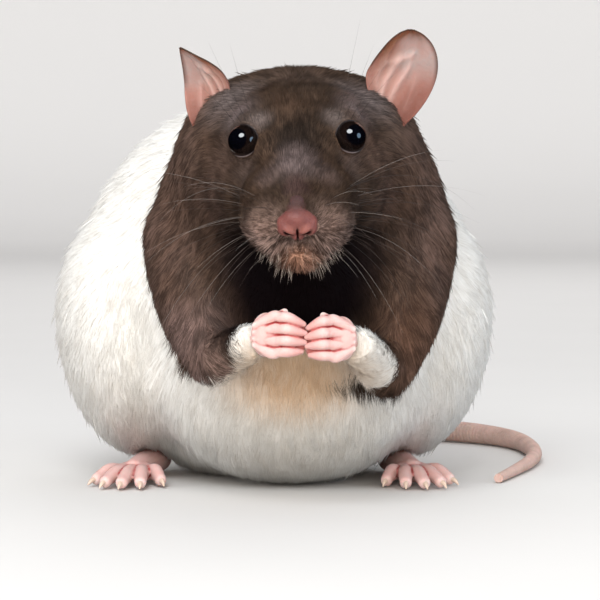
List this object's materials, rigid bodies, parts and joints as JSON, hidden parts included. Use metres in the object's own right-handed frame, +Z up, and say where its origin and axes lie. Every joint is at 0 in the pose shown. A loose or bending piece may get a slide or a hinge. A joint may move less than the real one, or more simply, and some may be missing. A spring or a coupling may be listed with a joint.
{
  "type": "hooded rat model",
  "caption": "Life-size plump hooded rat sitting up on its haunches, both hands held together under its chin, tail curled on the floor.",
  "frame": {"origin": "centre of the rat's footprint, on the floor", "axes": "+Z up; the rat faces -Y and its rump and tail are towards +Y; +X is on the right of someone who faces it"},
  "size_m": [0.1192, 0.1844, 0.1038],
  "materials": {
    "hood": "short soft dark brown fur",
    "white_coat": "short soft creamy white fur",
    "bare_skin": "bare pink skin of hands, feet and nose",
    "ear_skin": "thin brownish pink skin with down",
    "eye": "wet black",
    "tail_skin": "ringed pink skin"
  },
  "bodies": {
    "root": {"head": "hood", "neck": "hood", "chest": "hood", "upper_arm_left": "hood", "upper_arm_right": "hood", "trunk": "white_coat", "thigh_left": "white_coat", "thigh_right": "white_coat", "forearm_left": "white_coat", "forearm_right": "white_coat", "hand_left": "bare_skin", "hand_right": "bare_skin", "foot_left": "bare_skin", "foot_right": "bare_skin", "nose": "bare_skin", "ear_left": "ear_skin", "ear_right": "ear_skin", "eye_left": "eye", "eye_right": "eye", "tail_root": "tail_skin", "tail_upper": "tail_skin", "tail_lower": "tail_skin", "tail_tip": "tail_skin"}
  },
  "joints": []
}
